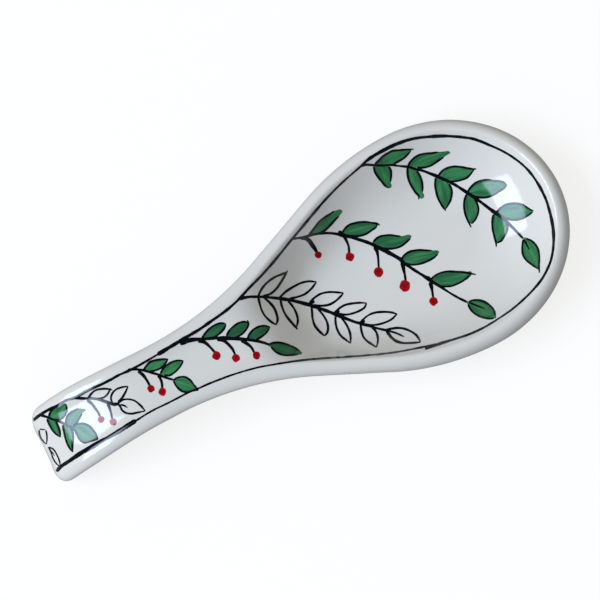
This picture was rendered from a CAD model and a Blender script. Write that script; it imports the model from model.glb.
import math
import random

import bmesh
import bpy
from mathutils import Matrix, Vector, noise
from mathutils.bvhtree import BVHTree
from mathutils.interpolate import poly_3d_calc


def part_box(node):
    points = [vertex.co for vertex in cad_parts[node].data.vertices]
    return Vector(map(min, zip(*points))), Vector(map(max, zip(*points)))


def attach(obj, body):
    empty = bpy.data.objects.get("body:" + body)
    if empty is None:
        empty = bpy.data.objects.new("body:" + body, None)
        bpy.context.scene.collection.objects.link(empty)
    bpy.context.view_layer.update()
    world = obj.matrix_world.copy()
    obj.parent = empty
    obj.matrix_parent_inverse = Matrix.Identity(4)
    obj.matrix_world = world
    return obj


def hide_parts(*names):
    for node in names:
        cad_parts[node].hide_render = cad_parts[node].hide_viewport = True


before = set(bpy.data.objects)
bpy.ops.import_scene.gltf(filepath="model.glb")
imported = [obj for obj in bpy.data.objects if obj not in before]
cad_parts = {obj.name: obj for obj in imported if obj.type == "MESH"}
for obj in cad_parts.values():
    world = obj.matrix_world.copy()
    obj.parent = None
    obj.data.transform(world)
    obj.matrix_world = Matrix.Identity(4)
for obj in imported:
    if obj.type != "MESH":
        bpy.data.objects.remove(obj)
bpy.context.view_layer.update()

MM = 0.001

# The clay's sizes in millimetres and degrees, the same as in the part's source
BOWL_W, NOSE_LEN, FLANK_R, FLANK_A = 99.5, 54, 105, 24
BOWL_DEPTH, FLOOR_T = 17, 4.5
RIM_W, CREST_IN, BOWL_LIP_H, HANDLE_LIP_H = 6.6, 5, 6.5, 3.3
HANDLE_RISE, RISE_START, RISE_LEAD = 2.5, 10, 18
WAIST_W, WAIST_REACH, END_W = 31.4, 128, 34.6
CHANNEL_DEPTH, HANDLE_T, STRAIGHT_LEN = 1.6, 5.6, 9
SLOPE_LEAD, SLOPE_LEN = 33, 44
BEND_R, BEND_A, HOOK_A, TOE_LEN = 100, 29, 72, 3
RIM_SINK, SINK_LEN = 1.2, 34
TOE_ROUND, TOE_GAP = 2.6, 0.1
CORNER_IN, CORNER_LEN = 6, 16
FOOT_H, FOOT_W, FOOT_FRONT_R, FOOT_REAR_R = 2, 3.5, 24, 15
FOOT_FRONT_U, FOOT_CLEAR = 2, 6
WALL_SHARE, WALL_POWER = 0.72, 2.2
SPREAD_SHARE, SPREAD_LIMIT_SHARE, OUTER_POWER = 1.8, 0.85, 1.5
FLARE_SHARE = 0.8

# Counts of steps in the clay's mesh, finer than the CAD's
INNER_N, SHOULDER_N, LIP_N, WALL_N = 24, 5, 9, 16
BASE_N = INNER_N + SHOULDER_N + LIP_N - WALL_N
HALF_N = 2*(INNER_N + SHOULDER_N + LIP_N)
TOE_N, CORNER_N, BEND_N, HANDLE_N, SLOPE_N, BOWL_N, NOSE_N = 9, 14, 28, 14, 30, 16, 40
# The angle at which the toe's rounding starts, and the length over which its glaze is worn
TOE_START_A, TOE_WEAR = 4, 3


def sin(a):
    return math.sin(math.radians(a))


def cos(a):
    return math.cos(math.radians(a))


def mix(a, b, t):
    return a + (b - a)*t


def ease(t):
    c = max(0, min(1, t))
    return c**3*(10 - 15*c + 6*c*c)


FLANK_END = FLANK_R*sin(FLANK_A)
FLANK_HALF_W = BOWL_W/2 - FLANK_R*(1 - cos(FLANK_A))
FLANK_TAN = math.tan(math.radians(FLANK_A))
NECK_R = (FLANK_TAN*(WAIST_REACH - FLANK_END) - FLANK_HALF_W + WAIST_W/2)/(1/cos(FLANK_A) - 1)
NECK_START = WAIST_REACH - NECK_R*sin(FLANK_A)
RISE_END = WAIST_REACH - RISE_LEAD
SLOPE_START = WAIST_REACH - SLOPE_LEAD
SLOPE_END = SLOPE_START - SLOPE_LEN
BEND_REACH = WAIST_REACH + STRAIGHT_LEN
FOOT_REAR_REACH = SLOPE_END - FOOT_CLEAR - FOOT_REAR_R
FLOOR_H = FOOT_H + FLOOR_T
BOWL_RIM_H = FLOOR_H + BOWL_DEPTH
HANDLE_RIM_H = BOWL_RIM_H + HANDLE_RISE
CHANNEL_H = HANDLE_RIM_H - CHANNEL_DEPTH
HANDLE_MID_H = CHANNEL_H - HANDLE_T/2
MID_DEPTH = HANDLE_RIM_H - HANDLE_MID_H
TOE_LOW = math.hypot(TOE_ROUND*sin(HOOK_A), HANDLE_T/2*cos(HOOK_A))
HOOK_DROP = (HANDLE_RIM_H - MID_DEPTH*cos(HOOK_A) - TOE_LOW - TOE_GAP - TOE_LEN*sin(HOOK_A)
             - BEND_R*(1 - cos(BEND_A)))
HOOK_R = HOOK_DROP/(cos(BEND_A) - cos(HOOK_A))
BEND_LEN = BEND_R*math.radians(BEND_A)
HOOK_LEN = HOOK_R*math.radians(HOOK_A - BEND_A)
TAIL_U = -(BEND_REACH + BEND_LEN + HOOK_LEN + TOE_LEN + TOE_ROUND)
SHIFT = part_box("body")[1].x/MM - NOSE_LEN


def half_width(u):
    back = -u
    if u > 0:
        return BOWL_W/2*math.sqrt(1 - min(1, u/NOSE_LEN)**2)
    if back < FLANK_END:
        return BOWL_W/2 - FLANK_R + math.sqrt(FLANK_R**2 - u*u)
    if back < NECK_START:
        return FLANK_HALF_W - FLANK_TAN*(back - FLANK_END)
    if back < WAIST_REACH:
        return WAIST_W/2 + NECK_R - math.sqrt(NECK_R**2 - (WAIST_REACH + u)**2)
    flare = ease((back - WAIST_REACH)/(FLARE_SHARE*(-TAIL_U - WAIST_REACH)))
    left = max(0, -TAIL_U - back)
    cut = CORNER_IN*(1 - math.sqrt(1 - (1 - left/CORNER_LEN)**2)) if left < CORNER_LEN else 0
    return mix(WAIST_W, END_W, flare)/2 - cut


def lean(u):
    back = -u
    if back < FLANK_END:
        return math.asin(back/FLANK_R)
    if back < NECK_START:
        return math.radians(FLANK_A)
    if back < WAIST_REACH:
        return math.asin((WAIST_REACH + u)/NECK_R)
    return 0


def rise_at(u):
    return ease((-u - RISE_START)/(RISE_END - RISE_START))


def rim_height(u):
    sunk = ease(1 - (u - TAIL_U - TOE_LEN)/SINK_LEN)
    return mix(BOWL_RIM_H, HANDLE_RIM_H, rise_at(u)) - RIM_SINK*sunk


def lip_height(u):
    return mix(BOWL_LIP_H, HANDLE_LIP_H, rise_at(u))


def slope_at(u):
    return ease((u + SLOPE_START)/(SLOPE_START - SLOPE_END))


def hollow_height(u):
    return mix(CHANNEL_H, FLOOR_H, slope_at(u))


def under_height(u):
    return hollow_height(u) - mix(HANDLE_T, FLOOR_T, slope_at(u))


def top_height(u, d, length):
    """Height of the upper face at a distance d from the edge, on a ray of that length."""
    gap = RIM_W - CREST_IN
    k = WALL_POWER/((length - RIM_W)*WALL_SHARE)
    slope = (rim_height(u) - hollow_height(u))*k/(1 + gap*k/2)
    if d < CREST_IN:
        return rim_height(u) - lip_height(u)*(1 - math.sqrt(max(0, 1 - (1 - d/CREST_IN)**2)))
    if d < RIM_W:
        return rim_height(u) - slope*(d - CREST_IN)**2/(2*gap)
    share = min(1, (d - RIM_W)/((length - RIM_W)*WALL_SHARE))
    return mix(hollow_height(u), rim_height(u) - slope*gap/2, (1 - share)**WALL_POWER)


def thinned(u, z):
    left = u - TAIL_U
    return mix(HANDLE_MID_H, z, math.sqrt(max(0, 1 - (1 - left/TOE_ROUND)**2))) if left < TOE_ROUND else z


def bent(x, y, z):
    """Lays a point of the straight handle down along its two bends."""
    s = -BEND_REACH - x
    if s < 0:
        return Vector((x, y, z))
    a = math.degrees(s/BEND_R) if s < BEND_LEN else min(
        HOOK_A, BEND_A + math.degrees((s - BEND_LEN)/HOOK_R))
    first = min(a, BEND_A)
    toe = max(0, s - BEND_LEN - HOOK_LEN)
    h = z - HANDLE_RIM_H
    return Vector((
        -BEND_REACH - BEND_R*sin(first) - HOOK_R*(sin(a) - sin(first)) - toe*cos(a) - h*sin(a),
        y,
        HANDLE_RIM_H - BEND_R*(1 - cos(first)) - HOOK_R*(cos(first) - cos(a)) - toe*sin(a) + h*cos(a)))


def steps(a, b, n):
    return [mix(a, b, (i + 1)/n) for i in range(n)]


def clay_rays():
    """Rays from the middle line to the edge: (root, edge, length). Those of the nose fan out."""
    toe = [TAIL_U + TOE_ROUND*(1 - cos(a)) for a in [TOE_START_A] + steps(TOE_START_A, 90, TOE_N)]
    places = (toe + steps(TAIL_U + TOE_ROUND, TAIL_U + CORNER_LEN, CORNER_N)
              + steps(TAIL_U + CORNER_LEN, -BEND_REACH, BEND_N)
              + steps(-BEND_REACH, -SLOPE_START, HANDLE_N)
              + steps(-SLOPE_START, -SLOPE_END, SLOPE_N)
              + steps(-SLOPE_END, 0, BOWL_N))
    rays = [((u, 0), (u, half_width(u)), half_width(u)*math.cos(lean(u))) for u in places]
    fan = len(rays) - 1
    for a in steps(0, 90, NOSE_N):
        edge = (NOSE_LEN*sin(a), BOWL_W/2*cos(a))
        rays.append(((0, 0), edge, math.hypot(*edge)))
    return rays, fan


def half_profile(ray):
    """Distances from the edge and heights, from the hollow over the rim and down to the base."""
    u, length = ray[0][0], ray[2]
    hollow = length - RIM_W
    edge_h = rim_height(u) - lip_height(u)
    base = 1/math.hypot(1/(SPREAD_SHARE*(edge_h - under_height(u))), 1/(SPREAD_LIMIT_SHARE*length))
    inner = [RIM_W + hollow*WALL_SHARE*(1 - i/(INNER_N - 1)) for i in range(INNER_N)]
    lip = [CREST_IN*(1 - sin(a)) for a in steps(0, 90, LIP_N)]
    power = 2/OUTER_POWER
    points = [(length, hollow_height(u))]
    points += [(d, top_height(u, d, length)) for d in inner + steps(RIM_W, CREST_IN, SHOULDER_N) + lip]
    points += [(base*(1 - max(0, cos(a))**power), mix(edge_h, under_height(u), sin(a)**power))
               for a in steps(0, 90, WALL_N)]
    return points + [(d, under_height(u)) for d in steps(base, length, BASE_N)]


# Unevenness of the hand-finished clay: amplitudes in millimetres and wavelengths
WAVE_AMOUNT, WAVE_LEN = 0.09, 26
RIPPLE_AMOUNT, RIPPLE_LEN = 0.04, 9


def add_attribute(mesh, name, values):
    layer = mesh.color_attributes.new(name=name, type="FLOAT_COLOR", domain="POINT")
    layer.data.foreach_set("color", [part for value in values for part in value])


def make_object(name, points, faces, material, nodes):
    mesh = bpy.data.meshes.new(name)
    mesh.from_pydata([tuple(p) for p in points], [], faces)
    mesh.validate()
    work = bmesh.new()
    work.from_mesh(mesh)
    bmesh.ops.recalc_face_normals(work, faces=work.faces)
    work.to_mesh(mesh)
    work.free()
    mesh.shade_smooth()
    piece = bpy.data.objects.new(name, mesh)
    bpy.context.scene.collection.objects.link(piece)
    piece.data.materials.append(material)
    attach(piece, "root")
    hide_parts(*nodes)
    return piece


def uneven(mesh):
    """Moves the clay in and out along its normals, as a hand leaves it."""
    normals = [v.normal.copy() for v in mesh.vertices]
    for v, n in zip(mesh.vertices, normals):
        at = v.co/MM
        v.co += n*(WAVE_AMOUNT*noise.noise(at/WAVE_LEN) + RIPPLE_AMOUNT*noise.noise(at/RIPPLE_LEN))*MM
    mesh.update()


def clay_body(material):
    """The clay as one closed skin over the rays' profiles. At the nose the two sides share a ray."""
    rays, fan = clay_rays()
    last = len(rays) - 1
    points, index, faces, worn = [], {}, [], []

    def vertex(i, j):
        m = j % (2*HALF_N)
        k = 2*HALF_N - m if m > HALF_N and i == last else m
        n = min(k, 2*HALF_N - k)
        row = min(i, fan) if n in (0, HALF_N) else i
        key = (row, k)
        if key not in index:
            index[key] = len(points)
            side = 1 if k <= HALF_N else -1
            d, z = profiles[row][n]
            (root_x, _), (edge_x, edge_y), length = rays[row]
            x, y = mix(edge_x, root_x, d/length), mix(edge_y, 0, d/length)
            points.append(bent(x, side*y, thinned(root_x, z)))
            near_end = max(0, 1 - (root_x - TAIL_U)/TOE_WEAR)
            worn.append((n/HALF_N, near_end, 0, 1))
        return index[key]

    profiles = [half_profile(ray) for ray in rays]
    for i in range(last):
        for j in range(2*HALF_N):
            corners = [vertex(i, j), vertex(i, j + 1), vertex(i + 1, j + 1), vertex(i + 1, j)]
            faces.append(list(dict.fromkeys(corners)))
    for side in (0, 1):
        for k in range(HALF_N//2):
            corners = [vertex(0, 2*HALF_N - n if side else n)
                       for n in (k, HALF_N - k, HALF_N - k - 1, k + 1)]
            faces.append(list(dict.fromkeys(corners)))
    faces = [face for face in faces if len(face) > 2]
    placed = [(p + Vector((SHIFT, 0, 0)))*MM for p in points]
    piece = make_object("clay_body", placed, faces, material, ["body"])
    uneven(piece.data)
    add_attribute(piece.data, "wear", worn)
    return piece


# The standing ring: its section's rounding and its steps, how far it runs into the clay, and its arcs' step
RING_ROUND, RING_STEPS, RING_SINK, RING_ARC = 0.9, 5, 0.35, 5


def ring_outline(inset):
    """The ring's plan: two arcs and the straight lines between them, inset from its outer edge."""
    span = FOOT_FRONT_U + FOOT_REAR_REACH
    turn = math.degrees(math.acos((FOOT_REAR_R - FOOT_FRONT_R)/span))
    front_n = round(2*turn/RING_ARC)
    rear_n = round((360 - 2*turn)/RING_ARC)
    front = [-turn] + steps(-turn, turn, front_n)
    rear = [turn] + steps(turn, 360 - turn, rear_n)
    r1, r2 = FOOT_FRONT_R - inset, FOOT_REAR_R - inset
    return ([(FOOT_FRONT_U + r1*cos(a), r1*sin(a)) for a in front]
            + [(-FOOT_REAR_REACH + r2*cos(a), r2*sin(a)) for a in rear])


def standing_ring(material):
    turns = [0] + steps(0, 90, RING_STEPS)
    outer = [(RING_ROUND*(1 - cos(a)), RING_ROUND*(1 - sin(a))) for a in turns]
    top = FOOT_H + RING_SINK
    section = [(0, top)] + outer + [(FOOT_W - d, z) for d, z in reversed(outer)] + [(FOOT_W, top)]
    rings = [[(x, y, z) for x, y in ring_outline(inset)] for inset, z in section]
    n = len(rings[0])
    points = [Vector((x + SHIFT, y, z))*MM for ring in rings for x, y, z in ring]
    count = len(rings)
    faces = [[r*n + i, r*n + (i + 1) % n, (r + 1) % count*n + (i + 1) % n, (r + 1) % count*n + i]
             for r in range(count) for i in range(n)]
    return make_object("standing_ring", points, faces, material, ["foot_ring"])


# The camera: its place, aim and roll, and its focal length in pixels of the 600 by 600 picture
IMAGE_SIDE = 600
FOCAL = 1236.1
SENSOR = 36
NEAR_CLIP = 0.01
EYE = Vector((11.36, -91.72, 523.6))*MM
AIM = Vector((4.84, 5.1, 13))*MM
ROLL = math.radians(27.585)
FORWARD = (AIM - EYE).normalized()
LEVEL = (Vector((1, 0, 0)) - FORWARD*FORWARD.x).normalized()
UPWARD = LEVEL.cross(FORWARD)
IMAGE_X = LEVEL*math.cos(ROLL) - UPWARD*math.sin(ROLL)
IMAGE_Y = -(LEVEL*math.sin(ROLL) + UPWARD*math.cos(ROLL))


def add_camera():
    data = bpy.data.cameras.new("camera")
    data.sensor_width = SENSOR
    data.lens = FOCAL/IMAGE_SIDE*SENSOR
    data.clip_start = NEAR_CLIP
    camera = bpy.data.objects.new("camera", data)
    bpy.context.scene.collection.objects.link(camera)
    axes = (IMAGE_X, -IMAGE_Y, -FORWARD, EYE)
    camera.matrix_world = Matrix([[axis[row] for axis in axes] for row in range(3)] + [[0, 0, 0, 1]])
    bpy.context.scene.camera = camera


class Clay:
    """The clay's upper face as the brush meets it: a pixel of the picture gives a place on it."""

    def __init__(self, piece):
        mesh = piece.data
        self.points = [v.co.copy() for v in mesh.vertices]
        self.normals = [v.normal.copy() for v in mesh.vertices]
        self.faces = [list(p.vertices) for p in mesh.polygons]
        self.tree = BVHTree.FromPolygons(self.points, self.faces)

    def under(self, x, y):
        ray = FORWARD + (IMAGE_X*(x - IMAGE_SIDE/2) + IMAGE_Y*(y - IMAGE_SIDE/2))/FOCAL
        place, _, face, _ = self.tree.ray_cast(EYE, ray.normalized())
        if place is None:
            return None
        corners = self.faces[face]
        shares = poly_3d_calc([self.points[i] for i in corners], place)
        normal = Vector()
        for i, share in zip(corners, shares):
            normal += self.normals[i]*share
        return place, normal.normalized()


# Heights of the painted layers over the glaze and how far their edges run into it, in millimetres
PAINT_LIFT, LAYER_STEP, PAINT_SINK = 0.03, 0.012, 0.05


class Layer:
    """Painted shells that make one piece: their points, the clay's normals there, and tones."""

    def __init__(self, clay, level):
        self.clay = clay
        self.level = level
        self.points, self.normals, self.tones, self.faces = [], [], [], []

    def grid(self, rows, tones, dome=None):
        """A closed shell over rows of pixels. Rows that miss the clay are left out."""
        cast = [[self.clay.under(x, y) for x, y in row] for row in rows]
        kept = [i for i, row in enumerate(cast) if all(row)]
        if len(kept) < 2:
            return
        n, m = len(kept), len(rows[0])
        start = len(self.points)
        lift = PAINT_LIFT + LAYER_STEP*self.level
        for top in (True, False):
            for i in kept:
                rise = lift + (dome[i] if dome else 0)
                for j, (place, normal) in enumerate(cast[i]):
                    self.points.append(place + normal*(rise if top else -PAINT_SINK)*MM)
                    self.normals.append(normal)
                    self.tones.append(tones[i][j])
        for i in range(n - 1):
            for j in range(m - 1):
                a = start + i*m + j
                top = [a, a + 1, a + m + 1, a + m]
                self.faces += [top, [v + n*m for v in reversed(top)]]
        first, last = range(start, start + m), range(start + (n - 1)*m, start + n*m)
        left, right = range(first[0], last[0], m), range(first[-1], last[-1], m)
        rim = [*first[:-1], *right, *reversed(last), *reversed(left[1:])]
        self.faces += [[a, b, b + n*m, a + n*m] for a, b in zip(rim, rim[1:] + rim[:1])]

    def piece(self, name, slot, material, nodes):
        piece = make_object(name, self.points, self.faces, material, nodes)
        add_attribute(piece.data, "paint", self.tones)
        piece.data.normals_split_custom_set_from_vertices(self.normals)
        return piece


# Length in pixels of the steps along a brush line
STROKE_STEP = 1


def smooth(points):
    """A smooth line through points (x, y, ...), at even steps along it."""
    spans = [math.dist(a[:2], b[:2]) or 1e-6 for a, b in zip(points, points[1:])]
    slopes = [[(q - p)/span for p, q in zip(a, b)] for a, b, span in zip(points, points[1:], spans)]
    tangents = [slopes[0]]
    for i in range(1, len(points) - 1):
        total = spans[i - 1] + spans[i]
        tangents.append([(p*spans[i] + q*spans[i - 1])/total
                         for p, q in zip(slopes[i - 1], slopes[i])])
    tangents.append(slopes[-1])
    line = [list(points[0])]
    for i, span in enumerate(spans):
        count = max(1, math.ceil(span/STROKE_STEP))
        for k in range(1, count + 1):
            t = k/count
            h0, h1 = 1 - t*t*(3 - 2*t), t*t*(3 - 2*t)
            g0, g1 = t*(1 - t)**2*span, -t*t*(1 - t)*span
            line.append([a*h0 + b*h1 + p*g0 + q*g1 for a, b, p, q in
                         zip(points[i], points[i + 1], tangents[i], tangents[i + 1])])
    return line


# How a brush line swells, thins and rounds off: shares of its width, and lengths in pixels
SWELL_SHARE, SWELL_LEN, SWELL_SPREAD = 0.26, 7, 50
END_SHARE, END_LEN = 0.55, 5
ROUND_SHARE, BLUNT_SHARE = 0.5, 0.12
# How much broader stems and fine lines are laid than their widths read in the picture
STEM_FULL, LINE_FULL = 1.25, 1.12


def distances(line):
    """How far along the line each of its points lies."""
    made = [0]
    for a, b in zip(line, line[1:]):
        made.append(made[-1] + math.dist(a[:2], b[:2]))
    return made


def stroke(layer, points, chance, width=None, end=1, full=STEM_FULL):
    """A brush line through pixels (x, y) or (x, y, width). End gives how full it is where it stops."""
    line = smooth([(p[0], p[1], p[2] if len(p) > 2 else width) for p in points])
    seed = chance.random()
    lengths = distances(line)
    total = lengths[-1]
    rows, tones = [], []
    for i, (x, y, w) in enumerate(line):
        a, b = line[max(0, i - 1)], line[min(len(line) - 1, i + 1)]
        span = math.dist(a[:2], b[:2]) or 1
        across = ((a[1] - b[1])/span, (b[0] - a[0])/span)
        half = w*full/2*(1 + SWELL_SHARE*noise.noise(Vector((lengths[i]/SWELL_LEN, SWELL_SPREAD*seed, 0))))
        for away, share in ((lengths[i], 1), (total - lengths[i], end)):
            half *= mix(share, 1, min(1, away/END_LEN))
            half *= math.sqrt(min(1, (away/w + BLUNT_SHARE)/ROUND_SHARE))
        rows.append([(x + across[0]*half*s, y + across[1]*half*s) for s in (-1, 0, 1)])
        tones.append([(lengths[i]/total, s, seed, 1) for s in (0, 0.5, 1)])
    layer.grid(rows, tones)


def up_to(line, tip):
    """The part of a line before the place nearest to the tip."""
    gaps = [math.dist(p[:2], tip) for p in line]
    return line[:gaps.index(min(gaps)) + 1]


def resampled(line, count):
    """The line as count equal steps."""
    lengths = distances(line)
    made, k = [], 0
    for i in range(count + 1):
        at = lengths[-1]*i/count
        while k < len(line) - 2 and lengths[k + 1] < at:
            k += 1
        span = lengths[k + 1] - lengths[k] or 1
        made.append([mix(p, q, (at - lengths[k])/span) for p, q in zip(line[k][:2], line[k + 1][:2])])
    return made


# The green of a leaf: its steps along and across, the steps that give its heading at an end, how far it
# runs in under the stem, how near to the tip its edges stop in pixels, and its rounded end
FILL_ALONG, FILL_ACROSS, FILL_HEADING = 26, 8, 4
FILL_LEAD, TIP_GAP = 1.6, 0.3
CAP_N, CAP_SHARE, CAP_END = 4, 0.4, 0.1


def middle(a, b):
    return (a[0] + b[0])/2, (a[1] + b[1])/2


def heading(a, b):
    span = math.dist(a, b) or 1
    return (b[0] - a[0])/span, (b[1] - a[1])/span


def lead_in(edges):
    """A pair of places before the edges' first ones, so that the green runs in under the stem."""
    left, right = edges
    way = heading(middle(left[0], right[0]), middle(left[FILL_HEADING], right[FILL_HEADING]))
    return [(x - FILL_LEAD*way[0], y - FILL_LEAD*way[1]) for x, y in (left[0], right[0])]


def round_cap(edges):
    """Pairs of places that round off the green beyond the edges' ends."""
    left, right = edges
    a, b = left[-1], right[-1]
    x, y = middle(a, b)
    way = heading(middle(left[-FILL_HEADING], right[-FILL_HEADING]), (x, y))
    reach = CAP_SHARE*math.dist(a, b)
    made = []
    for turn in steps(0, 90, CAP_N):
        far, wide = reach*sin(turn), max(cos(turn), CAP_END)
        made.append([(x + way[0]*far + (p[0] - x)*wide, y + way[1]*far + (p[1] - y)*wide) for p in (a, b)])
    return made


def fill(layer, left, right, tips, depth, chance):
    """The green of a leaf between its two edges. Tips has one place, or one for each edge."""
    edges = []
    for edge, tip in ((left, tips[0]), (right, tips[-1])):
        line = up_to(smooth(edge), tip)
        if math.dist(line[-1][:2], tip) > TIP_GAP:
            line.append(list(tip))
        edges.append(resampled(line, FILL_ALONG))
    pairs = [lead_in(edges)] + list(zip(*edges))
    if len(tips) == 2:
        pairs += round_cap(edges)
    seed = chance.random()
    shares = [j/FILL_ACROSS for j in range(FILL_ACROSS + 1)]
    rows, tones = [], []
    for i, (a, b) in enumerate(pairs):
        rows.append([(mix(a[0], b[0], s), mix(a[1], b[1], s)) for s in shares])
        tones.append([(i/len(pairs), s, seed, depth) for s in shares])
    layer.grid(rows, tones)


# A berry: its steps round and inward, its dome in millimetres, the share of it left open in the middle,
# and how uneven its edge is, with the noise's reach round it and from berry to berry
BERRY_AROUND, BERRY_RINGS, BERRY_DOME, BERRY_CORE = 24, 4, 0.1, 0.02
LOBE_SHARE, LOBE_REACH, LOBE_SPREAD = 0.2, 1.3, 40


def berry(layer, x, y, r, chance):
    """A blot of red: its rows run round it and its columns from the edge to the middle."""
    seed = chance.random()
    rows, tones, dome = [], [], []
    for ring in range(BERRY_RINGS + 1):
        inward = ring/BERRY_RINGS
        row = []
        for i in range(BERRY_AROUND + 1):
            a = 360*(i % BERRY_AROUND)/BERRY_AROUND
            at = Vector((cos(a)*LOBE_REACH, sin(a)*LOBE_REACH, LOBE_SPREAD*seed))
            reach = r*(1 - inward*(1 - BERRY_CORE))*(1 + LOBE_SHARE*noise.noise(at))
            row.append((x + reach*cos(a), y + reach*sin(a)))
        rows.append(row)
        tones.append([(inward, i/BERRY_AROUND, seed, 1) for i in range(BERRY_AROUND + 1)])
        dome.append(BERRY_DOME*sin(90*inward))
    layer.grid(rows, tones, dome)


# The painting, read by eye in pixels of the picture: lines are (x, y, width). The border comes first
BORDER = [
    [(32.5, 421, 2.8), (40, 415, 2.8), (50, 409, 2.7), (58, 405.5, 2.6), (65, 401, 2.5), (75, 397.5, 2.5),
     (85, 392, 2.5), (93, 388, 2.5), (100, 385, 2.5), (110, 380, 2.5), (120, 374.5, 2.4),
     (127, 371.5, 2.4), (150, 359, 2), (160, 353, 1.8)],
    [(157.4, 354.6, 3.6), (170, 347, 3.3), (180, 341, 3.2), (190, 335, 3.2), (200, 329, 3.1),
     (210, 322, 2.8), (220, 315, 2.6), (228, 309, 2.5), (237, 301, 2.4), (250, 287, 2.3), (260, 277, 2.2),
     (270, 266, 2.2), (280, 254, 2.2), (290, 241.5, 2.2), (300.5, 229, 2.2), (313.8, 213, 2.2),
     (325, 200, 2.2), (345, 180, 1.9), (353, 173, 1.9), (361, 166, 2.2), (367, 160.5, 2.8), (375, 155, 3),
     (384, 150, 3), (393, 145.5, 3), (400.5, 142.5, 2.9), (410, 139.5, 2.8), (419, 137.7, 2.6),
     (426, 137, 2.3), (435, 136.3, 2.8), (445, 136, 2.8), (455, 136.5, 2.8), (465, 137.5, 2.8),
     (473, 138.8, 2.6), (481, 141.5, 2.3), (490, 145.3, 2.2), (500.5, 150, 2.2), (511, 156, 2.2),
     (520, 162.5, 2.2), (528, 170, 2.3), (535, 179, 2.3), (541, 189, 2.5), (546, 199.5, 2.4),
     (549.3, 210, 2.5), (551.7, 220, 2.8), (553.3, 230, 2.9), (553.7, 240, 2.8), (553, 250, 2.6),
     (551, 260, 2.4), (547, 270, 2.3), (541.3, 280, 2.3), (533, 290, 2.2), (523, 300, 2.1),
     (510.5, 310.5, 1.7), (498, 319, 1.7), (483, 328, 1.9), (470, 334, 2.1), (455, 339, 2.4),
     (440, 343.7, 2.8), (432, 346.6, 2.2), (425, 349, 1.8)],
    [(56.5, 471.5, 3.1), (60.5, 467, 3.5), (67, 462.5, 3.7), (75, 457, 3.8), (81, 453, 3.8),
     (90, 448, 3.8), (100, 441.8, 3.8), (110, 436.5, 3.7), (120, 430.5, 3.8), (129, 424.8, 3.9),
     (136.3, 420.3, 3.6)],
    [(133, 421.8, 1.7), (137, 420, 1.8), (145, 415, 1.7), (155, 409.3, 1.7), (165, 404.5, 1.7),
     (175, 399.5, 1.7), (190, 391.8, 1.8), (200, 387.7, 1.8), (210, 383.3, 1.8), (220, 379.4, 1.7),
     (230, 375.7, 1.7), (240, 372.4, 1.8), (250, 369.5, 1.8), (260, 367, 1.8), (270, 365.2, 1.8),
     (280, 363.5, 1.8), (290, 361.9, 1.8), (305, 360, 1.8), (325, 358.2, 1.8), (345, 357, 1.8),
     (365, 355.5, 1.8), (385, 353.6, 1.8), (395, 352.3, 1.8), (405, 350.6, 1.8), (415, 348.6, 1.8),
     (425, 346.7, 1.9), (435, 344.8, 2.2), (445, 342.3, 1.6)],
]

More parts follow.
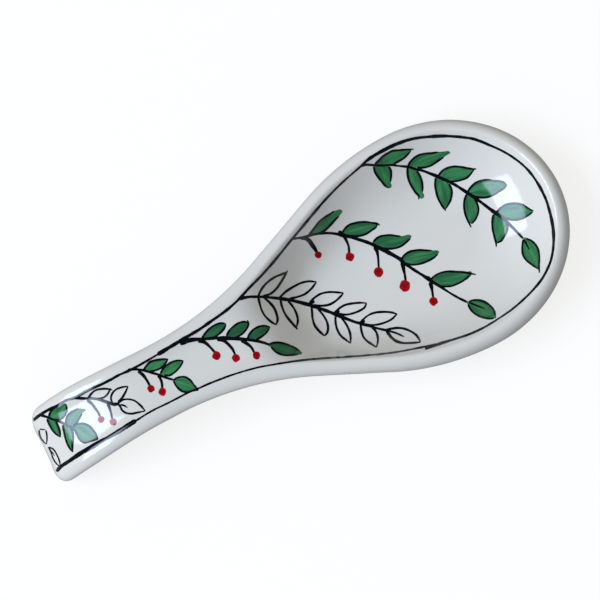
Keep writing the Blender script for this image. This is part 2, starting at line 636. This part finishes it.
# The sprigs, from the bowl's tip to the handle's end. Each has its stems (the main one, knots and berry
# stalks), leaves (left edge, right edge and, where green fills it, the green's tips), midribs, berries
# (x, y, radius), the width of its leaves' lines and the share of deep green
SPRIG_A = dict(depth=0.1, width=1.9, stems=[
    [(361, 166, 2.2), (366, 164.8, 2), (372, 165, 2), (382, 165.5, 2), (392, 165, 1.9), (399, 166, 1.8),
     (405, 166.5, 2), (409, 167, 2), (415, 169, 2), (422, 170.5, 2.2), (430, 173.5, 2.3), (436, 175.8, 3),
     (442, 178.5, 2.6), (448, 181.2, 2.6), (453, 183.7, 2.6), (460, 188, 2.5), (467, 192.6, 3),
     (474, 197.3, 2.6), (480, 201.5, 2.6), (487, 206.8, 2.6), (494, 212, 3.2), (500, 216, 2.8),
     (506, 221, 2.8), (511, 226, 2.2), (517, 232, 2), (523, 238.5, 1.8)],
], leaves=[
    ([(375, 164), (379, 160), (383, 156), (388, 153), (392, 151), (398, 150.3), (405, 149.7), (410, 149.3),
      (413.8, 149.2)],
     [(394, 163.7), (399, 161), (404, 158), (408, 154), (411, 150.5)], (412, 149.7)),
    ([(408, 166), (410, 162), (414, 158), (419, 155), (425, 153.5), (432, 153), (438, 152)],
     [(417, 167.5), (424, 167.5), (430, 166), (435, 163), (440, 159.5), (444, 157)], (447.6, 151),
     (449.6, 153.6)),
    ([(438.5, 175.5), (442, 171), (447, 168), (453, 166.5), (460, 166.8), (467, 168), (473, 169),
      (476.5, 169)],
     [(449, 181.5), (453, 181.3), (457, 181), (463, 179.5), (468, 177), (471.5, 173), (474, 169.5)],
     (474.3, 169.3)),
    ([(467.5, 192), (471, 187), (476, 182.5), (482, 180.5), (488, 180), (494, 180.8), (499, 181.3),
      (503, 182.2), (506.8, 184.5)],
     [(470, 193.5), (475, 196.5), (481, 197.5), (488, 197), (494, 194.5), (499, 191.5), (504, 188),
      (506.8, 184.8)], (506.8, 184.6)),
    ([(495, 213), (497, 211.5), (500, 208.5), (505, 205), (511, 203.7), (517, 203.5), (523, 205),
      (527, 207.5), (530, 209.5), (533.8, 211)],
     [(499, 214.5), (504, 217.5), (510, 219.5), (517, 219.7), (523, 218), (528, 215.5), (533, 212)],
     (533, 211.3)),
    ([(373.5, 166.5), (375, 172), (378, 177), (382, 182), (386, 186.5), (389, 188)],
     [(389, 166.5), (391, 171), (391, 177), (390.5, 182)], (388.7, 187.8), (391.2, 184.5)),
    ([(407.5, 167.5), (407.5, 174), (409, 181), (412, 187), (415.5, 192.5), (419, 197), (418.5, 199.5)],
     [(417, 171), (420, 176), (422, 182), (422.5, 188), (422.5, 192)], (420, 198), (424, 194.5)),
    ([(435.5, 178), (435, 184), (436, 191), (438, 198), (441, 204), (444, 208.5), (446, 210.8)],
     [(449, 184), (451.5, 189), (451.8, 194), (450.5, 200), (448, 205), (445.5, 209)], (444.8, 209.3)),
    ([(466.5, 194.5), (464.5, 200), (464, 206), (465, 213), (467, 219), (469.5, 224), (471.2, 227.8)],
     [(474, 198), (477, 203), (478.5, 209), (477.5, 215), (475, 220), (471.5, 224)], (470.2, 222.8)),
    ([(493.5, 214.5), (492.5, 219), (492.2, 225), (493, 231), (494.5, 237), (496, 243), (496.3, 247)],
     [(506, 221.5), (507.7, 226), (507, 231), (504.5, 236), (501, 241), (497, 243)], (496.6, 243)),
    ([(526, 238.5), (531, 240.5), (535, 244), (538, 249), (539.2, 255), (539.3, 261), (539, 267),
      (539.5, 273)],
     [(523.5, 239.5), (522.5, 244), (522.2, 249), (523, 255), (526, 260), (531, 264), (536, 267.5),
      (538.5, 269)], (538.5, 268.5)),
], midribs=[
    [(524, 239.5), (527, 245), (529.5, 250)],
])
SPRIG_B = dict(depth=0.2, width=1.9, stems=[
    [(293, 238.8, 2.4), (297, 238.2, 2), (300.5, 237.8, 2.2), (305, 237, 2.4), (309, 235.7, 2),
     (313, 234.6, 2.2), (320, 233.5, 2.2), (331, 233.2, 2), (337, 234, 2.2), (342, 235, 3.2),
     (345, 235.8, 3), (351, 237.2, 2.6), (357, 239, 2.6), (363, 240.8, 2.8), (369, 243, 3),
     (373, 244.7, 3.4), (377, 246.8, 3), (383, 249.7, 3.2), (389, 252.8, 3.2), (395, 256.1, 3),
     (400.5, 259.6, 3.4), (403, 262, 3.2), (409, 266.5, 2.6), (415, 270.5, 2.4), (423, 275.5, 2.4),
     (429, 279.5, 3.2), (432, 281.5, 2.6), (440, 286.5, 2.2), (450, 293, 2), (460, 298.7, 2),
     (467, 302, 2.2)],
    [(338.3, 231.5, 3.2), (342.5, 233.8, 3.4)],
    [(426.8, 276.8, 3), (430, 279.5, 3.2)],
    [(300.5, 238.5, 2.4), (305, 238.5, 2.6), (309, 240.5, 3.2), (311.5, 244, 3.6), (314, 247.5, 3.6),
     (317.2, 252.8, 2.6)],
    [(343, 235, 2.2), (345, 238, 2.4), (347, 242, 2.2), (348.5, 246, 2), (349.2, 253, 2)],
    [(374.5, 246.5, 3.2), (376.5, 250, 3), (377.8, 255, 2.4), (378.3, 260, 2), (378.7, 268, 1.8)],
    [(402, 262, 3.6), (403, 266, 3.2), (404, 271, 2.4), (405, 276, 2), (405.7, 282, 1.8)],
    [(430, 282, 3.4), (431.5, 287, 2.8), (432.2, 291, 2.2), (433.2, 298, 1.8)],
], leaves=[
    ([(309, 235), (311, 232.5), (315, 227), (320.5, 220.5), (325, 217), (330, 214), (334, 211)],
     [(313, 234.8), (319, 233.3), (325, 230.3), (330, 225.5), (335, 220), (339, 216)], (338.5, 209.6),
     (341.8, 212.8)),
    ([(342.5, 232.5), (345, 228.5), (349, 225), (355, 223), (361, 222), (367, 222), (373, 223), (378, 224),
      (379.8, 225.4)],
     [(345, 235), (351, 236), (357, 236.2), (362, 235.5), (367, 233.5), (372, 230), (376, 227),
      (377.5, 224.5)], (378.3, 224.4)),
    ([(373, 242.5), (376, 239), (380, 236.5), (385, 235.5), (391, 235.2), (397, 236), (401, 236.5)],
     [(377, 247.5), (383, 248.5), (391, 248.8), (397, 247.8), (402, 245.5), (406.5, 242), (410.5, 238.5)],
     (406.5, 235), (411, 237.6)),
    ([(401.5, 259), (404.5, 255), (409, 252), (415, 250.5), (421, 250), (427, 250.5), (432, 250.5)],
     [(406, 263.5), (411, 264.7), (417, 264.5), (423, 263), (429, 260.5), (434, 257.5), (438, 254)],
     (435.7, 250.3), (438.5, 253.3)),
    ([(430.5, 279.5), (434, 276.5), (439, 273.5), (444, 272), (450, 271.5), (456, 271.8), (462, 272),
      (467, 272.8), (471, 273.7), (476, 274.5)],
     [(432, 281.5), (436, 284), (440, 286), (446, 286.5), (452, 286), (457, 284), (462, 281.5), (467, 278),
      (471, 274.5)], (468.5, 271.2), (471.5, 274)),
    ([(469, 301.5), (473, 300.3), (478, 300), (483, 301.2), (488, 304), (492, 307.5), (494.5, 312),
      (495.7, 315.5)],
     [(468, 304), (470, 308.5), (474, 313), (479, 316), (485, 318), (490, 318.7), (494, 318.5)],
     (495.8, 315.8), (494.8, 318.3)),
], midribs=[
    [(469, 302.5), (474, 304.5), (479, 306.5), (485, 309)],
], berries=[
    (318.3, 254.7, 3.5), (349.8, 256.8, 4.4), (378.5, 272, 4.8), (405, 286, 5.5), (433.7, 301.5, 4.2)
])
SPRIG_C = dict(width=2.05, stems=[
    [(239, 299, 3), (245, 297.5, 2.6), (250, 296.8, 2.4), (258, 296.8, 2.2), (265, 297, 2.2),
     (273, 297.8, 2.6), (279.5, 298.5, 2.8), (291, 300.3, 2.6), (303, 303.2, 3), (311, 305.4, 3),
     (317, 307.5, 2.8), (325, 310.3, 2.8), (333, 313.3, 3), (340, 316.3, 3), (347, 319, 2.6),
     (355, 322, 2.3), (361, 323.7, 2.7), (368, 325.7, 2.2), (378, 328.5, 2), (386, 330.3, 2)],
    [(310, 303, 2.6), (314.5, 301.2, 3)],
    [(335.5, 312.5, 2.5), (339.5, 310.5, 3)],
    [(361.5, 322.3, 2.5), (365, 320.8, 3)],
], leaves=[
    ([(257.8, 297.5), (259.3, 293.5), (263, 287), (269, 281), (275, 277), (281, 274.5), (287, 272)],
     [(263, 296), (270, 294), (276, 289), (281, 282), (285, 275), (287.5, 270.5)]),
    ([(279.3, 298), (285, 292.3), (293, 287), (301, 283), (309, 281.3), (316.5, 282)],
     [(289, 299), (297, 297), (305, 294), (311, 289), (316.5, 282)]),
    ([(309.3, 303.3), (312, 300), (315, 297.3), (320, 294.2), (328, 292.2), (336, 292.3), (343.6, 293)],
     [(313.3, 305), (321, 305.7), (328, 305), (335, 301.5), (340, 297), (343.6, 293)]),
    ([(334.5, 312.8), (339.4, 308.3), (344.5, 305.2), (352, 303.5), (360, 302.8), (366.5, 303)],
     [(337.5, 313.7), (347, 314.6), (354, 313), (360, 310.5), (364.5, 307.5), (366.5, 303)]),
    ([(360, 323), (362, 320.6), (364.8, 318), (369.2, 314.8), (375.5, 312.6), (383.5, 311.9),
      (391.5, 312.5), (397.2, 314.1)],
     [(365, 324), (371, 325), (378, 324.5), (385, 322.5), (392, 319), (397, 314)]),
    ([(258.3, 297.5), (260, 305), (262, 311), (265, 316), (270, 321), (276.2, 325)],
     [(264.5, 298), (270, 303), (274, 308), (276.5, 314), (277.5, 320), (276.2, 325)]),
    ([(280.3, 299), (281.5, 305), (283.5, 311), (287, 317), (292, 323), (297.6, 329.5)],
     [(288, 301), (293, 307), (296.5, 314), (297.8, 320), (296.6, 327)]),
    ([(311.5, 306), (312, 312), (312.5, 318), (314.5, 325), (319, 331), (324.5, 336)],
     [(318, 309), (323, 315), (326.5, 321), (328, 327), (327, 333), (324.5, 336)]),
    ([(335.5, 316), (335.5, 322), (337, 329), (341, 336), (346, 340), (350.5, 343.5)],
     [(341.5, 318), (346, 324), (349, 330), (350.5, 336), (350.5, 343.5)]),
    ([(360.5, 325), (361.5, 331), (363.5, 337), (367, 341), (372, 344.5), (376.5, 347.5)],
     [(372, 327.5), (375.5, 331), (377.5, 336), (377.8, 341), (376.5, 347.5)]),
    ([(385.5, 330), (390, 329), (397, 328), (403, 328.5), (410, 331), (416, 335), (419.5, 340),
      (420.5, 342.2)],
     [(386, 330.5), (388, 333, 2.5), (391, 337, 2.9), (396, 341, 2.6), (403, 343), (411, 343),
      (420.5, 342.2)]),
], midribs=[
    [(387, 330.4), (390, 331.2), (397, 333.5), (401.5, 335.5), (404, 337)],
])
SPRIG_D = dict(depth=0.55, width=1.9, stems=[
    [(180, 344, 2.8), (188, 340.6, 4), (195, 339.5, 3.5), (202, 339.2, 2.8), (210, 338.5, 2.6),
     (216, 338, 2.8), (225, 338.2, 3.2), (235, 338.8, 2.8), (245, 339.2, 2.6), (252, 340.3, 2.6),
     (260, 341.7, 2.4), (266, 343.5, 2.2), (270, 345, 2)],
    [(198, 341, 2.8), (204, 342, 2.6), (210, 347, 2.2), (214.5, 352, 1.9)],
    [(217, 339.5, 2.8), (224, 341, 2.6), (229, 345, 2.4), (233, 350, 2), (235.2, 355, 1.8)],
    [(241, 340, 2.8), (246, 343, 2.6), (251, 347, 2.2), (254.5, 353, 1.8)],
], leaves=[
    ([(202, 338.5), (204, 335), (208, 330), (214, 325.5), (221, 323.1), (225.5, 323.6)],
     [(210, 338.5), (217, 335.5), (222, 331.2), (225.3, 326), (225.5, 323.6)], (225.2, 323.8)),
    ([(226.5, 336), (229, 331), (234, 326), (240, 322.5), (246, 322), (248.5, 323)],
     [(233, 338.5), (238, 336.5), (243, 333), (247, 328), (248.5, 323), (247.2, 320)], (248.3, 323)),
    ([(247.5, 339), (249, 335), (253, 330), (258, 327), (264, 325.8), (270, 327.2)],
     [(256, 340), (261, 337), (266, 333), (270, 327.2)], (270, 327.2)),
    ([(269.5, 344), (276, 342.5), (284, 343.5), (292, 346.5), (300, 351)],
     [(271, 347), (276, 352), (283, 355), (290, 355.2), (298.5, 354.5)], (301.3, 351.8), (300.2, 354.6)),
], berries=[
    (216.5, 355.5, 4.3), (236, 358, 4), (256.5, 355.5, 3.9)
])
SPRIG_E = dict(depth=0, width=1.8, stems=[
    [(128, 369.8, 2.2), (133, 369.3, 2.2), (138, 369.5, 2), (143, 370.2, 2), (148, 371.6, 2),
     (152.5, 373, 2), (158, 374.5, 2.2), (163.5, 376.8, 2), (168, 378.3, 2), (174, 380, 1.8)],
    [(138, 371, 3), (142, 374, 2.8), (146, 379, 2.4), (149.7, 385.5, 2)],
    [(158, 375.5, 2.4), (160.5, 379, 2.2), (162, 384, 2), (162.1, 388.5, 2)],
], leaves=[
    ([(143.5, 370), (146.5, 365.5), (150, 362), (156, 360), (162, 359.2), (168, 359)],
     [(149, 371.5), (155, 370.5), (161, 368), (165, 364), (168, 359)], (167.5, 359.4)),
    ([(160.2, 374), (162.2, 370.2), (166.8, 365.1), (172.5, 361.7), (178.5, 360.5), (183.4, 360.8)],
     [(164, 375), (169.5, 375.4), (174.3, 372.6), (178.9, 368), (181.7, 363.9), (183.4, 360.8)],
     (183, 360.6)),
    ([(173.5, 380.5), (175, 379), (180, 377), (185, 377), (190, 380), (194, 385), (198.5, 390.3)],
     [(173.5, 381), (175, 384), (179, 389), (183, 391.8), (188, 392), (194, 390.5), (198.5, 390.3)],
     (198.3, 390)),
], berries=[
    (151, 388.6, 3.7), (162.5, 391.7, 3.9)
])
SPRIG_F = dict(width=1.9, stems=[
    [(73, 397.8, 2.2), (87, 398.5, 2.2), (93, 398.5, 2.2), (99, 399.5, 2.2), (105, 401.5, 2.4),
     (111, 403.5, 3), (115, 404.3, 3), (118, 403.7, 2.6)],
    [(87, 400, 2.2), (91, 403, 2.2), (95, 408, 2), (98.5, 413, 1.8), (100, 416.5, 1.8)],
    [(107.5, 403.5, 2.4), (109.5, 408, 2), (111, 413, 1.8), (112.3, 419, 1.8)],
], leaves=[
    ([(88.5, 398), (91, 394), (95, 390.5), (101, 389), (108, 389), (112.5, 390)],
     [(93, 398.5), (99, 398.6), (104, 397.2), (108, 393.5), (110.5, 388)]),
    ([(112.3, 403), (111, 399), (112, 394), (116, 389.5), (121, 387.5), (128, 386.3)],
     [(118, 402), (122, 398), (125, 393), (128, 386.3)]),
    ([(117.5, 403.5), (119, 402.3), (123, 399.8), (128, 399.2), (134, 400.5), (140, 405), (145.3, 411)],
     [(118, 404), (120, 406), (122, 410), (125, 412.5), (131, 413.7), (138, 412.5), (145.3, 411)]),
], midribs=[
    [(120.5, 404.5), (125, 406), (127.5, 407.8)],
], berries=[
    (101, 419.5, 3.3), (113.2, 422, 3.6)
])
SPRIG_G = dict(depth=0.05, width=1.8, stems=[
    [(41, 415.4, 2.2), (46.5, 416.8, 2), (50, 418.3, 2), (55, 420, 2), (60, 421.7, 2), (65, 424, 2),
     (70, 427, 2), (73, 428.3, 1.8)],
], leaves=[
    ([(49, 417), (50, 413), (52, 410), (56, 406.5), (61, 404.5), (66, 404)],
     [(56, 419.5), (61, 419), (65.5, 414), (66.8, 409), (66, 404)], (65.8, 404.3)),
    ([(66, 424), (66.5, 418), (69, 414), (73, 411), (79, 408.5)],
     [(73, 426), (77, 422), (79.5, 418), (82, 413)], (83.8, 408.9), (85.2, 411)),
    ([(72.5, 427.5), (74, 426), (78, 424), (83, 423.5), (89, 426), (94, 431), (98, 439.3)],
     [(73, 428.5), (75, 430.5), (77, 435), (80, 440), (84, 442.5), (91, 441), (98, 439.3)], (97.6, 439)),
    ([(47, 419), (50, 426), (54, 432), (60.5, 437.2)],
     [(56, 421), (58, 426), (60, 432), (60.5, 437.2)], (60.3, 436.8)),
    ([(63, 425), (64, 432), (66, 440), (69, 447), (72.8, 452.2)],
     [(70.5, 428), (72.5, 432), (73, 440), (72.5, 446), (72.8, 452.2)], (72.6, 451.8)),
])
SPRIG_H = dict(width=1.4, leaves=[
    ([(39.2, 430), (39.5, 434), (41, 438), (43.5, 441.5), (46.5, 444.5)],
     [(46, 430.5), (46.7, 434), (47, 440), (46.5, 444.5)]),
    ([(48.5, 447), (53, 449), (57, 455), (59.5, 461), (60, 464.5), (59.8, 466.5)],
     [(48.5, 447), (51, 452), (53, 458), (56, 463), (59.5, 466.5)]),
], midribs=[
    [(39.5, 429), (46, 430)],
    [(51, 451), (53.5, 454), (54.5, 456)],
])
SPRIGS = [SPRIG_A, SPRIG_B, SPRIG_C, SPRIG_D, SPRIG_E, SPRIG_F, SPRIG_G, SPRIG_H]
SEED = 7
MIDRIB_SHARE = 0.8


def painting(clay, materials):
    """Lays the border, the sprigs and their berries on the clay, one piece for each kind."""
    chance = random.Random(SEED)
    green, stems, border, outlines, red = [Layer(clay, level) for level in (0, 1, 2, 3, 4)]
    for line in BORDER:
        stroke(border, line, chance, full=LINE_FULL)
    for sprig in SPRIGS:
        width = sprig["width"]
        for line in sprig.get("stems", []):
            stroke(stems, line, chance)
        for left, right, *tips in sprig["leaves"]:
            if tips:
                fill(green, left, right, tips, sprig["depth"], chance)
            for edge in (left, right):
                stroke(outlines, edge, chance, width, end=END_SHARE, full=LINE_FULL)
        for line in sprig.get("midribs", []):
            stroke(outlines, line, chance, width*MIDRIB_SHARE, end=END_SHARE)
        for x, y, r in sprig.get("berries", []):
            berry(red, x, y, r, chance)
    green.piece("green_leaf_paint", "green_paint", materials["green"], ["green_leaves"])
    stems.piece("stem_paint", "black_paint", materials["black"], ["stems"])
    border.piece("border_paint", "black_paint", materials["black"], ["border_lines"])
    outlines.piece("outline_paint", "black_paint", materials["black"], ["leaf_outlines"])
    red.piece("berry_paint", "red_paint", materials["red"], ["berries"])


def linear(r, g, b):
    """A colour written as the picture shows it, 0 to 255, as the shader takes it by the sRGB formula."""
    return tuple(((c/255 + 0.055)/1.055)**2.4 if c > 10 else c/255/12.92 for c in (r, g, b)) + (1,)


class Nodes:
    """Short calls for the nodes of a material or the world."""

    def __init__(self, tree):
        self.tree = tree

    def node(self, kind, **values):
        made = self.tree.nodes.new("ShaderNode" + kind)
        for key, value in values.items():
            if hasattr(made, key):
                setattr(made, key, value)
            else:
                made.inputs[key].default_value = value
        return made

    def link(self, start, end):
        self.tree.links.new(start, end)

    def feed(self, socket, value):
        """Sets a socket to a number or a colour, or links it to another node's output."""
        if isinstance(value, (int, float, tuple)):
            socket.default_value = value
        else:
            self.link(value, socket)

    def maths(self, operation, a, b=0, clamp=False):
        made = self.node("Math", operation=operation, use_clamp=clamp)
        self.feed(made.inputs[0], a)
        self.feed(made.inputs[1], b)
        return made.outputs[0]

    def ramp(self, value, low, high, start=0, end=1):
        """A value between low and high of the input becomes start to end."""
        made = self.node("MapRange", **{"From Min": low, "From Max": high, "To Min": start, "To Max": end})
        self.link(value, made.inputs["Value"])
        return made.outputs["Result"]

    def blend(self, share, a, b, way="MIX"):
        made = self.node("Mix", data_type="RGBA", blend_type=way)
        for end, value in ((0, share), (6, a), (7, b)):
            self.feed(made.inputs[end], value)
        return made.outputs[2]

    def mixed_shader(self, share, a, b):
        made = self.node("MixShader")
        for end, value in enumerate((share, a, b)):
            self.link(value, made.inputs[end])
        return made.outputs[0]


class Finish(Nodes):
    """A material with one main shader."""

    def __init__(self, name):
        self.material = bpy.data.materials.new(name)
        self.material.use_nodes = True
        super().__init__(self.material.node_tree)
        self.shader = self.tree.nodes["Principled BSDF"]

    def parts(self, name):
        """The four numbers of an attribute that was added to the mesh."""
        found = self.node("Attribute", attribute_name=name)
        split = self.node("SeparateColor")
        self.link(found.outputs["Color"], split.inputs["Color"])
        return split.outputs["Red"], split.outputs["Green"], split.outputs["Blue"], found.outputs["Alpha"]

    def noise(self, scale, detail=2):
        made = self.node("TexNoise", Scale=scale, Detail=detail)
        self.link(self.node("TexCoord").outputs["Object"], made.inputs["Vector"])
        return made.outputs["Fac"]

    def patches(self, scale, low, high, start=0, end=1, detail=2):
        """Noise whose values between low and high become start to end."""
        return self.ramp(self.noise(scale, detail), low, high, start, end)

    def set(self, socket, value):
        self.feed(self.shader.inputs[socket], value)

    def bump(self, scale, detail, strength, distance):
        made = self.node("Bump", Strength=strength, Distance=distance)
        self.link(self.noise(scale, detail), made.inputs["Height"])
        self.set("Normal", made.outputs["Normal"])


# The glaze's gloss, over the clay and the paint alike, and its faint dimples: scales and the dimples' height
GLAZE_IOR = 1.5
GLOSS_SCALE, GLOSS_LOW, GLOSS_HIGH = 60, 0.07, 0.13
DIMPLE_SCALE, DIMPLE_STRENGTH, DIMPLE_H = 130, 0.1, 0.0004


def glazed(f):
    f.set("Roughness", f.patches(GLOSS_SCALE, 0.3, 0.7, GLOSS_LOW, GLOSS_HIGH))
    f.set("IOR", GLAZE_IOR)
    f.bump(DIMPLE_SCALE, 3, DIMPLE_STRENGTH, DIMPLE_H)
    return f.material


# The white glaze: its cloudy greys, where it is worn thin, and its specks
GLAZE_DIM, GLAZE_PALE = (0.64, 0.64, 0.625, 1), (0.67, 0.665, 0.645, 1)
GLAZE_WORN, GLAZE_SPECK = (0.40, 0.375, 0.345, 1), (0.33, 0.30, 0.27, 1)
CLOUD_SCALE, SPECK_SCALE, SPECK_STRENGTH = 22, 900, 0.35
WORN_ROUND = (0.485, 0.545)
WORN_TOE = (0.1, 0.75)


def glaze_finish():
    f = Finish("white_glaze")
    base = f.blend(f.patches(CLOUD_SCALE, 0.35, 0.65), GLAZE_DIM, GLAZE_PALE)
    around, near_end, _, _ = f.parts("wear")
    edge = f.maths("MAXIMUM", f.ramp(around, *WORN_ROUND), f.ramp(near_end, *WORN_TOE))
    worn = f.blend(edge, base, GLAZE_WORN)
    specks = f.patches(SPECK_SCALE, 0.72, 0.76, 0, SPECK_STRENGTH, detail=3)
    f.set("Base Color", f.blend(specks, worn, GLAZE_SPECK))
    return glazed(f)


# The bare clay: its two tones, its grains, and the scales of all three
CLAY_DARK, CLAY_PALE, CLAY_GRAIN = (0.42, 0.35, 0.28, 1), (0.56, 0.49, 0.41, 1), (0.24, 0.19, 0.15, 1)
TONE_SCALE, GRAIN_SCALE, ROUGH_SCALE = 180, 1500, 1400


def bare_clay_finish():
    f = Finish("bare_clay")
    base = f.blend(f.patches(TONE_SCALE, 0.35, 0.65, detail=4), CLAY_DARK, CLAY_PALE)
    f.set("Base Color", f.blend(f.patches(GRAIN_SCALE, 0.62, 0.7, 0, 0.6), base, CLAY_GRAIN))
    f.set("Roughness", 0.85)
    f.bump(ROUGH_SCALE, 4, 0.5, 0.0003)
    return f.material


# The black: its colour, its colour where the brush left it thin, and the scale of the thin places
BLACK_FULL, BLACK_THIN = (0.001, 0.002, 0.004, 1), (0.014, 0.017, 0.022, 1)
BLACK_SCALE = 700


def black_finish():
    f = Finish("black_paint")
    thin = f.patches(BLACK_SCALE, 0.52, 0.78, 0, 0.5, detail=3)
    f.set("Base Color", f.blend(thin, BLACK_FULL, BLACK_THIN))
    return glazed(f)


# The green: its streaks' two tones, its tone where it lies thick and at its edges, and the streaks' scales
# along the leaf, across it and from leaf to leaf
GREEN_DARK, GREEN_PALE = linear(40, 98, 64), linear(64, 138, 86)
GREEN_DEEP, GREEN_EDGE = linear(26, 66, 50), linear(20, 72, 50)
STREAK_SCALES = {"X": 1.6, "Y": 3.6, "Z": 40}


def green_finish():
    f = Finish("green_paint")
    along, across, seed, depth = f.parts("paint")
    where = f.node("CombineXYZ")
    for share, (end, scale) in zip((along, across, seed), STREAK_SCALES.items()):
        f.link(f.ramp(share, 0, 1, 0, scale), where.inputs[end])
    streaks = f.node("TexNoise", Scale=1.0, Detail=3)
    f.link(where.outputs["Vector"], streaks.inputs["Vector"])
    light = f.blend(f.ramp(streaks.outputs["Fac"], 0.36, 0.64), GREEN_DARK, GREEN_PALE)
    base = f.blend(depth, light, GREEN_DEEP)
    side = f.maths("ABSOLUTE", f.ramp(across, 0, 1, -1, 1))
    edge = f.maths("MAXIMUM", f.ramp(side, 0.6, 1, 0, 0.6), f.ramp(along, 0.84, 1, 0, 0.7))
    f.set("Base Color", f.blend(edge, base, GREEN_EDGE))
    return glazed(f)


# The red: its two tones, the darker middle of a blot, and the scale of the tones
RED_DARK, RED_PALE, RED_MIDDLE = linear(134, 4, 14), linear(170, 8, 24), linear(100, 6, 10)
RED_SCALE = 500


def red_finish():
    f = Finish("red_paint")
    inward = f.parts("paint")[0]
    base = f.blend(f.patches(RED_SCALE, 0.35, 0.65, detail=3), RED_DARK, RED_PALE)
    f.set("Base Color", f.blend(f.ramp(inward, 0.3, 0.9, 0, 0.75), base, RED_MIDDLE))
    return glazed(f)


# The window: the way to it from the object, its distance and size in metres, its power in watts, its tint
WINDOW_WAY, WINDOW_AWAY, WINDOW_SIZE = Vector((-0.707, 0.162, 0.688)), 6, (5, 2.9)
WINDOW_POWER, WINDOW_TINT = 418, (0.63, 0.75, 1)


def add_window():
    data = bpy.data.lights.new("window", "AREA")
    data.shape = "RECTANGLE"
    data.size, data.size_y = WINDOW_SIZE
    data.energy = WINDOW_POWER
    data.color = WINDOW_TINT
    lamp = bpy.data.objects.new("window", data)
    bpy.context.scene.collection.objects.link(lamp)
    way = WINDOW_WAY.normalized()
    lamp.location = way*WINDOW_AWAY
    lamp.rotation_euler = way.to_track_quat("Z", "Y").to_euler()


# The floor's side in metres, its colour to the camera and to bounced light, and how much of it glows
FLOOR_SIDE = 6
FLOOR_SEEN, FLOOR_DARK = (0.97, 0.97, 0.97, 1), (0.22, 0.22, 0.22, 1)
GLOW_SEEN, GLOW_MIRRORED = 0.8, 0.15


def floor_finish():
    f = Finish("floor")
    path = f.node("LightPath")
    camera, glossy = path.outputs["Is Camera Ray"], path.outputs["Is Glossy Ray"]
    f.set("Base Color", f.blend(camera, FLOOR_DARK, FLOOR_SEEN))
    f.set("Roughness", 0.9)
    f.set("Specular IOR Level", 0)
    glow = f.node("Emission", Strength=1)
    share = f.maths("MAXIMUM", f.ramp(camera, 0, 1, 0, GLOW_SEEN), f.ramp(glossy, 0, 1, 0, GLOW_MIRRORED))
    both = f.mixed_shader(share, f.shader.outputs[0], glow.outputs[0])
    f.link(both, f.tree.nodes["Material Output"].inputs["Surface"])
    return f.material


def add_floor():
    mesh = bpy.data.meshes.new("floor")
    h = FLOOR_SIDE/2
    mesh.from_pydata([(-h, -h, 0), (h, -h, 0), (h, h, 0), (-h, h, 0)], [], [(0, 1, 2, 3)])
    floor = bpy.data.objects.new("floor", mesh)
    bpy.context.scene.collection.objects.link(floor)
    floor.data.materials.append(floor_finish())


# The room's soft light: the axis and the way that it comes from, and its colour
ROOM = [("Z", 1, (0.53, 0.485, 0.37, 1)), ("X", -1, (0.55, 0.43, 0.02, 1)),
        ("Y", -1, (0.02, 0.12, 0.34, 1)), ("X", 1, (0.2, 0.2, 0.2, 1))]
NO_LIGHT = (0, 0, 0, 1)
# What is seen round the floor and mirrored: walls, and a dim ceiling from one height to another
WALLS, CEILING = (0.42, 0.4, 0.35, 1), (0.05, 0.052, 0.056, 1)
CEILING_START, CEILING_END = 0.02, 0.3


def add_world():
    """The room's light on the object. The camera and mirroring rays see the walls and ceiling instead."""
    world = bpy.data.worlds.new("world")
    world.use_nodes = True
    bpy.context.scene.world = world
    w = Nodes(world.node_tree)
    split = w.node("SeparateXYZ")
    w.link(w.node("TexCoord").outputs["Generated"], split.inputs[0])
    light = NO_LIGHT
    for axis, way, colour in ROOM:
        light = w.blend(w.maths("MULTIPLY", split.outputs[axis], way, clamp=True), light, colour, "ADD")
    lit = w.tree.nodes["Background"]
    w.link(light, lit.inputs["Color"])
    seen = w.node("Background")
    upward = w.ramp(split.outputs["Z"], CEILING_START, CEILING_END)
    w.link(w.blend(upward, WALLS, CEILING), seen.inputs["Color"])
    path = w.node("LightPath")
    share = path.outputs["Is Camera Ray"]
    for name in ("Is Glossy Ray", "Is Transmission Ray"):
        share = w.maths("MAXIMUM", share, path.outputs[name])
    both = w.mixed_shader(share, lit.outputs[0], seen.outputs[0])
    w.link(both, w.tree.nodes["World Output"].inputs["Surface"])


def main():
    bpy.context.scene.view_settings.view_transform = "Standard"
    add_camera()
    body = clay_body(glaze_finish())
    standing_ring(bare_clay_finish())
    painting(Clay(body), {"black": black_finish(), "green": green_finish(), "red": red_finish()})
    add_floor()
    add_world()
    add_window()


main()
